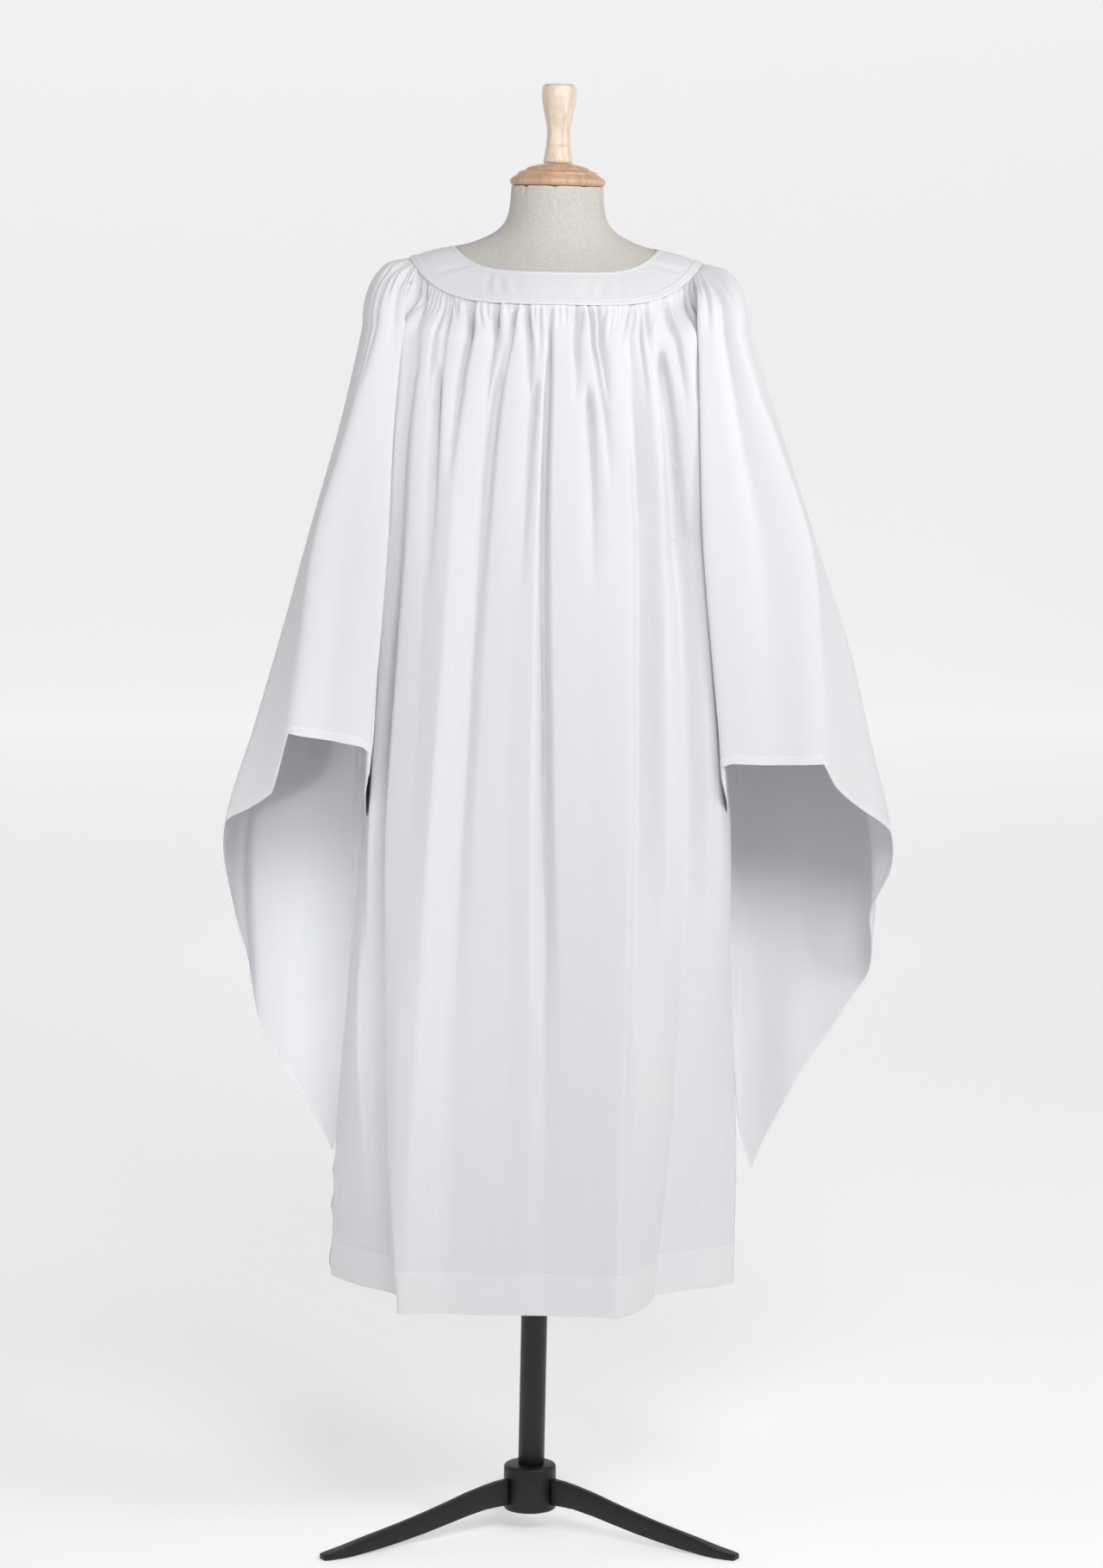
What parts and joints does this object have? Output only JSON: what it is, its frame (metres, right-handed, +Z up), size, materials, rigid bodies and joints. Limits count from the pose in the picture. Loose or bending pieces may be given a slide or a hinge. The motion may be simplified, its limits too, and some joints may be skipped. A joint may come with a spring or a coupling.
{
  "type": "surplice on a limbless dress form",
  "caption": "White gathered surplice with a round yoke and wide hanging bell sleeves, on a linen dress form with a turned wooden neck cap and a black tripod stand.",
  "frame": {"origin": "on the floor, in the middle of the part's width and depth", "axes": "+Z up, the garment's front faces -Y, +X is at the right of someone who looks at its front"},
  "size_m": [0.7614, 0.4675, 1.6497],
  "materials": {
    "cotton": "fine plain-woven white cotton, matt, slightly see-through",
    "linen": "natural linen cover, matt",
    "wood": "turned tan beech, satin",
    "pale_wood": "turned pale beech, satin",
    "black_steel": "black paint, satin, worn at the leg tips"
  },
  "bodies": {
    "root": {"yoke": "cotton", "front_panel": "cotton", "back_panel": "cotton", "sleeve_left": "cotton", "sleeve_right": "cotton", "form_torso": "linen", "neck_cap": "wood", "finial": "pale_wood", "pole": "black_steel", "hub": "black_steel", "leg_front_left": "black_steel", "leg_front_right": "black_steel", "leg_back": "black_steel"}
  },
  "joints": []
}
